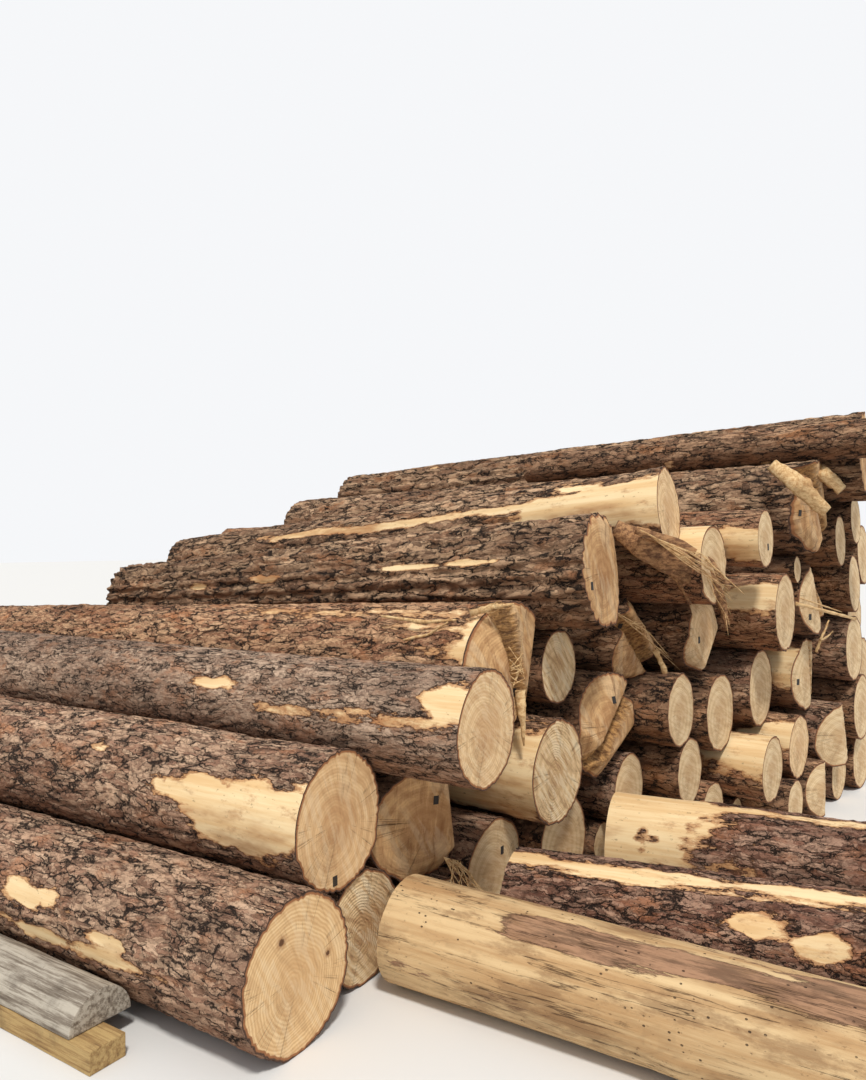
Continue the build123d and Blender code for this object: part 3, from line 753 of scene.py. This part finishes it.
small, medium, large = (0.028, 0.05), (0.038, 0.075), (0.06, 0.12)
plain = skin(dusk, dusty, medium, 0.007, 0.006, 0.42)
looks = {
    "left_ground_log": skin(plum, ringed, (0.05, 0.16), 0.008, 0.010, 1.25,
        patches=[(160, 1.09, 11, 0.15), (188, 0.98, 6, 0.3, 0.8), (185, 0.6, 6, 0.24, 0.8),
            (172, 0.62, 5, 0.1)]),
    "peeled_side_log": skin(plum, warm, (0.055, 0.17), 0.009, 0.011, 1.2,
        patches=[(168, 0.16, 30, 0.3), (157, 0.46, 13, 0.2), (190, 0.24, 13, 0.2)]),
    "grey_bark_log": skin(grey, fresh, (0.04, 0.12), 0.005, 0.006, 1.2,
        patches=[(152, 1.19, 8, 0.11), (145, 0.06, 20, 0.1), (171, 0.62, 6, 0.3, 0.6),
            (168, 0.25, 8, 0.25, 0.6)]),
    "split_butt_log": skin(rust, torn, (0.034, 0.11), 0.009, 0.012, 1.1,
        ragged=0.05, patches=[(140, 0.0, 26, 0.14)],
        strips=[(131, 5, -0.1, 0.5, 0.7), (156, 4, -0.1, 0.45, 0.6), (112, 7, -0.1, 1.4, 0.62)]),
    "furrowed_bark_log": skin(deep, torn, (0.055, 0.22), 0.013, 0.016, 1.2,
        ragged=0.02, facet_share=0.3, crack_width=0.34, face_widening=0.11,
        patches=[(165, 1.8, 6, 0.09), (162, 0.88, 4, 0.17), (162, 0.55, 4, 0.14), (171, 2.35, 5, 0.06)]),
    "peeled_top_log": skin(deep, fresh, (0.04, 0.12), 0.009, 0.010, 1.1,
        strips=[(162, 34, -0.2, 0.72), (149, 7, 0.6, 2.4, 0.8)]),
    "striped_top_log": skin(deep, torn, (0.05, 0.2), 0.010, 0.014, 1.0,
        ragged=0.06, strips=[(150, 5, -0.2, 2.2, 0.72)]),
    "thin_top_log": skin(dusk, dusty, small, 0.006, 0.006, 0.9),
    "bare_loose_log": skin(cream, fresh, (0.05, 0.2), 0.0025, 0.001, 1.2,
        bare=0.8, bands=[(112, 13, -0.3, 3.55), (129, 5, 3.1, 3.55), (84, 8, 0.2, 2.6)]),
    "yellow_patched_loose_log": skin(wine, fresh, (0.034, 0.085), 0.009, 0.009, 1.2,
        patches=[(146, 3.12, 12, 0.1), (155, 2.93, 10, 0.07)],
        strips=[(98, 11, -0.2, 4.3, 0.85), (114, 4, 1.0, 3.9, 0.6)]),
    "cream_ended_loose_log": skin(wine, fresh, (0.036, 0.08), 0.008, 0.008, 1.0,
        strips=[(100, 9, -0.2, 4.2, 0.75)], patches=[(90, 4.05, 150, 0.48), (270, 4.05, 150, 0.46)]),
    "wedge_butt_log": skin(dusk, torn, medium, 0.008, 0.008, 0.7),
    "shaded_ground_log": skin(dusk, sawn, medium, 0.008, 0.008, 0.6),
    "lower_saw_marked_log": skin(dusk, sawn, medium, 0.008, 0.012, 0.7, patches=[(180, 0.15, 60, 0.5)]),
    "upper_saw_marked_log": skin(dusk, sawn, medium, 0.006, 0.008, 0.6),
    "heart_butt_log": skin(dusk, torn, medium, 0.009, 0.012, 0.8),
    "broken_butt_log": skin(dusk, torn, medium, 0.01, 0.01, 0.7, ragged=0.05, rough_end=2.0),
    "angular_butt_log": skin(dusk, fresh, medium, 0.009, 0.01, 0.8),
    "notched_butt_log": skin(deep, torn, large, 0.012, 0.012, 0.8, ragged=0.08),
    "double_faced_log": skin(dusk, dusty, medium, 0.008, 0.008, 0.6, patches=[(160, 0.05, 30, 0.15)]),
    "clean_face_log": skin(rust, dusty, medium, 0.008, 0.008, 0.7, patches=[(150, 0.1, 20, 0.2)]),
    "stub_faced_log": skin(rust, dusty, medium, 0.004, 0.004, 0.6,
        ragged=0.04, patches=[(100, 0.0, 60, 0.16)]),
    "upper_round_log": skin(rust, dusty, small, 0.005, 0.006, 0.7, patches=[(190, 0.1, 30, 0.25)]),
    "brown_round_log": skin(rust, fresh, medium, 0.007, 0.008, 0.6, patches=[(150, 0.1, 30, 0.2)]),
    "tagged_low_log": skin(rust, dusty, medium, 0.007, 0.008, 0.7, patches=[(130, 0.1, 50, 0.35)]),
}

BEARERS = ("squared_timber", "half_round_slab")
# The butt of left_ground_log and the camera, from the point that the photo was measured from.
LEFT_BUTT = (-0.020, -0.025, 0.2475)
CAMERA_PLACE = (-1.816, -2.078, 1.6)
AHEAD = (0.766, 0.643)
piece_of, front_of = {}, {}
for number, node in enumerate(sorted(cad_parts)):
    if node in BEARERS:
        continue
    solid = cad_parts[node]
    pools = loose_parts(solid)
    polygons = solid.data.polygons if len(pools) == 1 else ()
    parts = sorted((Trunk(p, polygons) for p in pools), key=lambda trunk: trunk.start[0])
    for k, trunk in enumerate(parts):
        look = dict(plain)
        if number % 3 == 1:  # the plain logs take turns at three barks
            look.update(bark=rust)
        if number % 4 == 2:
            look.update(bark=plum)
        look.update(looks.get(node, {}))
        look["seed"] = 1000 + 37 * number + k
        name = node.replace("_logs", "_log") + ("_surface" if len(parts) == 1 else f"_surface_{k + 1}")
        obj = log_mesh(name, trunk, look)
        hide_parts(node)
        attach(obj, "root")
        piece_of[node], front_of[node] = obj, trunk.start
        if node == "left_ground_log":
            origin = Vector(trunk.start) - Vector(LEFT_BUTT)

# Camera, from the same height and place as the photographer's.
cam = bpy.data.cameras.new("camera")
cam.sensor_fit = "AUTO"
cam.sensor_width = 36
cam.lens = 28.87
camera = new_object("camera", cam)
camera.location = origin + Vector(CAMERA_PLACE)
camera.rotation_euler = (math.radians(90), 0, math.atan2(AHEAD[1], AHEAD[0]) - math.pi / 2)
scene.camera = camera

# The two bearers.
WORN_EDGE, WEAR, SLICE = 0.004, 0.002, 0.03


def bearer_surface(node, material, seed):
    """A copy of a straight bearer with a finer skin that is worn at its edges."""
    name = node + "_surface"
    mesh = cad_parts[node].data.copy()
    mesh.name = name
    obj = new_object(name, mesh)
    bm = bmesh.new()
    bm.from_mesh(mesh)
    bmesh.ops.remove_doubles(bm, verts=bm.verts, dist=1e-5)
    bmesh.ops.dissolve_limit(bm, angle_limit=0.02, verts=bm.verts, edges=bm.edges)
    longest = max(bm.edges, key=lambda e: e.calc_length())
    d = (longest.verts[1].co - longest.verts[0].co).normalized()
    middle = sum((v.co for v in bm.verts), Vector()) / len(bm.verts)
    sharp = [e for e in bm.edges if len(e.link_faces) == 2 and e.calc_face_angle(0) > 0.5]
    bmesh.ops.bevel(bm, geom=sharp, offset=WORN_EDGE, segments=2, affect="EDGES", profile=0.6)
    length = max((v.co - middle).dot(d) for v in bm.verts)
    for k in range(int(2 * length / SLICE)):
        at = -length + SLICE * (k + 0.5)
        geom = bm.verts[:] + bm.edges[:] + bm.faces[:]
        bmesh.ops.bisect_plane(bm, geom=geom, plane_co=middle + d * at, plane_no=d)
    bmesh.ops.triangulate(bm, faces=[f for f in bm.faces if len(f.verts) > 4])
    co = np.array([v.co[:] for v in bm.verts])
    nrm = np.array([v.normal[:] for v in bm.verts])
    t = (co - np.array(middle)) @ np.array(d)
    turn = (np.arctan2(co[:, 2], co[:, 0] - co[:, 0].mean()) / 6.283) % 1
    wobble = rough_noise(turn, t, 6, 0.2, seed, 4)
    shift = (wobble - 0.6)[:, None] * WEAR * nrm
    for v, s in zip(bm.verts, shift):
        v.co += Vector(s)
    bm.to_mesh(mesh)
    bm.free()
    mesh.materials.clear()
    mesh.materials.append(material)
    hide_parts(node)
    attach(obj, "root")
    return obj


def grain_turn(node):
    """The turn about the vertical that brings a bearer's length to the grain's axis."""
    flat = np.array([v.co[:2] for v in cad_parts[node].data.vertices])
    _, axes = np.linalg.eigh(np.cov(flat.T))
    return math.pi / 2 - math.atan2(axes[1, 1], axes[0, 1])


timber_finish = timber_material("timber_sawn", (190, 160, 108), (158, 126, 82), (98, 76, 54),
                                grain_turn("squared_timber"))
slab_finish = timber_material("slab_weathered", (186, 176, 160), (128, 116, 102), (76, 64, 54),
                              grain_turn("half_round_slab"))
timber = bearer_surface("squared_timber", timber_finish, 5)
slab = bearer_surface("half_round_slab", slab_finish, 9)

# Small things on the logs, placed by where the photo shows them.
view_right, view_ahead = Vector((AHEAD[1], -AHEAD[0], 0)), Vector((*AHEAD, 0))
focal_px, middle_px = 866.0, (433.0, 540.0)
tag_finish = Tree("tag_black").paint(linear((38, 34, 32)), 0.55)
across = math.pi / 2
splinter_pale = timber_material("splinter_pale", (228, 196, 146), (198, 156, 106), (140, 100, 64), across)
splinter_brown = timber_material("splinter_brown", (182, 138, 96), (122, 86, 60), (70, 48, 36), across)


def sight(u, v):
    """The direction from the camera to a pixel of the photo."""
    side = (u - middle_px[0]) / focal_px
    drop = (v - middle_px[1]) / focal_px
    return (view_ahead + view_right * side - Vector((0, 0, drop))).normalized()


def seen(u, v, y):
    """The point at a photo pixel that lies at depth y of the heap."""
    d = sight(u, v)
    start = origin + Vector(CAMERA_PLACE)
    return start + d * ((origin.y + y - start.y) / d.y)


def add_mesh(name, verts, faces, material):
    """An extra piece on the logs that stands for no node."""
    mesh = bpy.data.meshes.new(name)
    mesh.from_pydata([tuple(v) for v in verts], [], faces)
    mesh.polygons.foreach_set("use_smooth", np.ones(len(mesh.polygons), bool))
    mesh.materials.append(material)
    obj = new_object(name, mesh)
    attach(obj, "root")
    return obj


TAG_WIDE, TAG_HIGH, TAG_THICK = 0.022, 0.034, 0.003


def add_tag(node, u, v):
    """A blank plastic tag nailed flat on a log's end."""
    obj = piece_of[node]
    back = obj.matrix_world.inverted()
    start = back @ (origin + Vector(CAMERA_PLACE))
    hit, place, normal, _ = obj.ray_cast(start, (back.to_3x3() @ sight(u, v)).normalized())
    if not hit:
        return
    place = obj.matrix_world @ place
    n = (obj.matrix_world.to_3x3() @ normal).normalized()
    up = (Vector((0, 0, 1)) - n * n.z).normalized()
    side = up.cross(n)
    corners = [place + side * TAG_WIDE * a / 2 + up * TAG_HIGH * b / 2 + n * TAG_THICK * c
               for c in (-0.6, 0.6) for a, b in ((-1, -1), (1, -1), (1, 1), (-1, 1))]
    faces = [(3, 2, 1, 0), (4, 5, 6, 7), (0, 1, 5, 4), (1, 2, 6, 5), (2, 3, 7, 6), (3, 0, 4, 7)]
    tag = add_mesh(node.replace("_log", "_tag"), corners, faces, tag_finish)
    tag.data.polygons.foreach_set("use_smooth", np.zeros(6, bool))


def sliver(points, widths, thick, rng, steps=14):
    """The points and faces of one torn strip that runs through some points."""
    points = [Vector(p) for p in points]
    sides = 4 if max(widths) > 0.05 else 6
    at = np.linspace(0, len(points) - 1, steps)
    verts, faces = [], []
    for k, a in enumerate(at):
        i = min(int(a), len(points) - 2)
        p = points[i].lerp(points[i + 1], a - i)
        ahead = (points[min(i + 2, len(points) - 1)] - points[max(i - 1, 0)]).normalized()
        across = ahead.cross(view_ahead).normalized()
        other = ahead.cross(across).normalized()
        w = np.interp(a, np.linspace(0, len(points) - 1, len(widths)), widths)
        uneven = 0.07 if w > 0.04 else 0.2
        w, depth = w * rng.uniform(1 - uneven, 1 + uneven), min(thick, w) * rng.uniform(0.8, 1.1)
        wiggle = across * w * rng.uniform(-uneven, uneven) / 2 + other * depth * rng.uniform(-0.2, 0.2)
        for m in range(sides):
            turn = 2 * math.pi * (m + 0.5) / sides
            vert = p + wiggle + across * (w / 2 * math.cos(turn)) + other * (depth / 2 * math.sin(turn))
            vert.z = max(vert.z, 0.001)
            verts.append(vert)
    for k in range(steps - 1):
        for m in range(sides):
            n = (m + 1) % sides
            faces.append((k * sides + m, k * sides + n, (k + 1) * sides + n, (k + 1) * sides + m))
    faces.append(tuple(range(sides - 1, -1, -1)))
    faces.append(tuple((steps - 1) * sides + m for m in range(sides)))
    return verts, faces


def add_splinters(name, node, strips, material, seed):
    """Torn strips on one log: each is ((u, v, step in front of the end), ...), widths and thickness."""
    rng = np.random.default_rng(seed)
    verts, faces = [], []
    base = (Vector(front_of[node]) - origin).y
    for path, widths, thick in strips:
        v, f = sliver([seen(a, b, base - ahead) for a, b, ahead in path], widths, thick, rng)
        faces += [tuple(i + len(verts) for i in face) for face in f]
        verts += v
    return add_mesh(name, verts, faces, material)


def fibre_fan(start, to, count, ahead, width, rng):
    """Thin loose fibres between two short pixel lines."""
    out = []
    for _ in range(count):
        a, b = rng.uniform(0, 1), rng.uniform(0, 1)
        p = [start[0] + (start[2] - start[0]) * a, start[1] + (start[3] - start[1]) * a]
        q = [to[0] + (to[2] - to[0]) * b, to[1] + (to[3] - to[1]) * b]
        sag = rng.uniform(-4, 4, 2)
        path = [(p[0], p[1], ahead[0]),
                ((p[0] + q[0]) / 2 + sag[0], (p[1] + q[1]) / 2 + sag[1], (ahead[0] + ahead[1]) / 2),
                (q[0], q[1], ahead[1])]
        out.append((path, (width, width * 0.8, width * 0.3), width))
    return out


tags = (("peeled_side_log", 335, 881), ("wedge_butt_log", 436, 800), ("furrowed_bark_log", 592, 586),
        ("heart_butt_log", 614, 700), ("angular_butt_log", 699, 640), ("broken_butt_log", 620, 626),
        ("notched_butt_log", 800, 513), ("right_tall_log", 810, 617), ("double_faced_log", 798, 682),
        ("upper_round_log", 768, 547), ("split_butt_log", 514, 692), ("dim_ground_log", 502, 850))
for node, u, v in tags:
    add_tag(node, u, v)

rng = np.random.default_rng(77)
add_splinters("furrowed_torn_bark", "furrowed_bark_log", [
    (((616, 528, -0.04), (642, 544, 0.05), (672, 560, 0.1), (700, 578, 0.14), (716, 600, 0.16)),
     (0.1, 0.2, 0.19, 0.12, 0.06), 0.03),
    (((636, 530, 0.06), (676, 544, 0.12), (708, 562, 0.16), (730, 588, 0.18)),
     (0.05, 0.08, 0.07, 0.03), 0.02),
    (((700, 566, 0.14), (716, 588, 0.17), (724, 610, 0.19), (726, 630, 0.2)),
     (0.07, 0.09, 0.05, 0.008), 0.02),
    (((664, 562, 0.06), (680, 580, 0.08), (690, 604, 0.08)), (0.08, 0.06, 0.02), 0.02),
], splinter_brown, 5)
add_splinters("furrowed_torn_fibres", "furrowed_bark_log",
              fibre_fan((640, 530, 700, 560), (705, 552, 735, 600), 16, (0.12, 0.22), 0.006, rng)
              + fibre_fan((700, 562, 718, 590), (735, 585, 728, 640), 8, (0.16, 0.22), 0.005, rng)
              + [(((706, 560, 0.18), (726, 578, 0.22), (744, 594, 0.24)), (0.01, 0.008, 0.004), 0.008)],
              splinter_pale, 6)
add_splinters("split_butt_splinters", "split_butt_log", [
    (((520, 690, 0.0), (522, 715, 0.02), (524, 746, 0.02)), (0.06, 0.045, 0.008), 0.02),
    (((470, 614, -0.1), (495, 606, 0.0), (514, 604, 0.03)), (0.03, 0.025, 0.006), 0.012),
    (((382, 616, -0.5), (420, 622, -0.3), (456, 620, -0.15)), (0.012, 0.02, 0.008), 0.01),
    (((404, 640, -0.35), (430, 634, -0.25), (448, 622, -0.15)), (0.012, 0.014, 0.006), 0.008),
] + fibre_fan((474, 616, 505, 606), (498, 600, 520, 610), 10, (-0.1, 0.04), 0.005, rng)
  + fibre_fan((508, 640, 512, 690), (522, 634, 526, 690), 10, (0.0, 0.03), 0.006, rng), splinter_pale, 7)
add_splinters("wedge_foot_fibres", "wedge_butt_log",
              fibre_fan((440, 856, 462, 862), (446, 884, 486, 892), 16, (0.02, 0.12), 0.005, rng),
              splinter_pale, 8)
add_splinters("broken_butt_splinters", "broken_butt_log", [
    (((655, 650, 0.02), (664, 670, 0.05), (672, 690, 0.06)), (0.035, 0.03, 0.01), 0.015),
] + fibre_fan((612, 610, 650, 640), (640, 620, 680, 670), 12, (0.0, 0.06), 0.006, rng), splinter_pale, 9)
add_splinters("right_tall_slat", "right_tall_log", [
    (((796, 604, 0.06), (826, 611, 0.08), (856, 619, 0.1)), (0.02, 0.022, 0.018), 0.008),
    (((800, 598, 0.04), (824, 606, 0.06), (842, 612, 0.07)), (0.008, 0.01, 0.006), 0.006),
], splinter_pale, 10)
add_splinters("notched_butt_slabs", "notched_butt_log", [
    (((772, 464, -0.15), (800, 486, 0.03), (826, 512, 0.08)), (0.09, 0.13, 0.09), 0.05),
    (((802, 460, -0.15), (824, 474, 0.02), (842, 490, 0.07)), (0.07, 0.11, 0.08), 0.045),
], splinter_pale, 11)
add_splinters("double_faced_splinter", "double_faced_log", [
    (((816, 652, 0.03), (822, 636, 0.06), (829, 620, 0.08)), (0.02, 0.018, 0.008), 0.012),
    (((821, 640, 0.06), (828, 636, 0.07), (836, 628, 0.08)), (0.012, 0.012, 0.005), 0.01),
], splinter_pale, 12)

# Floor, backdrop and light.
floor_mesh = bpy.data.meshes.new("floor")
floor_mesh.from_pydata([(-60, -60, 0), (60, -60, 0), (60, 60, 0), (-60, 60, 0)], [], [(0, 1, 2, 3)])
floor = new_object("floor", floor_mesh)
floor_mesh.materials.append(Tree("floor_pale").paint((0.72, 0.71, 0.69, 1), 0.95))

world = bpy.data.worlds.new("world")
scene.world = world
world.use_nodes = True
sky = world.node_tree
sky.nodes.clear()


def backdrop(colour, strength):
    n = sky.nodes.new("ShaderNodeBackground")
    n.inputs[0].default_value = colour
    n.inputs[1].default_value = strength
    return n.outputs[0]


# The pale backdrop is seen only directly; the logs are lit a little less.
sky_out = sky.nodes.new("ShaderNodeOutputWorld")
sky_mix = sky.nodes.new("ShaderNodeMixShader")
sky_path = sky.nodes.new("ShaderNodeLightPath")
sky.links.new(sky_path.outputs["Is Camera Ray"], sky_mix.inputs[0])
sky.links.new(backdrop((0.93, 0.96, 1.0, 1), 0.68), sky_mix.inputs[1])
sky.links.new(backdrop((0.97, 0.98, 1.0, 1), 0.95), sky_mix.inputs[2])
sky.links.new(sky_mix.outputs[0], sky_out.inputs[0])

sun_data = bpy.data.lights.new("sun", "SUN")
sun_data.energy = 2.5
sun_data.angle = math.radians(8)
sun_data.color = (1.0, 0.97, 0.92)
sun = new_object("sun", sun_data)
sun.rotation_euler = Vector((0.42, 0.46, -1.0)).to_track_quat("-Z", "Y").to_euler()

bpy.context.view_layer.update()
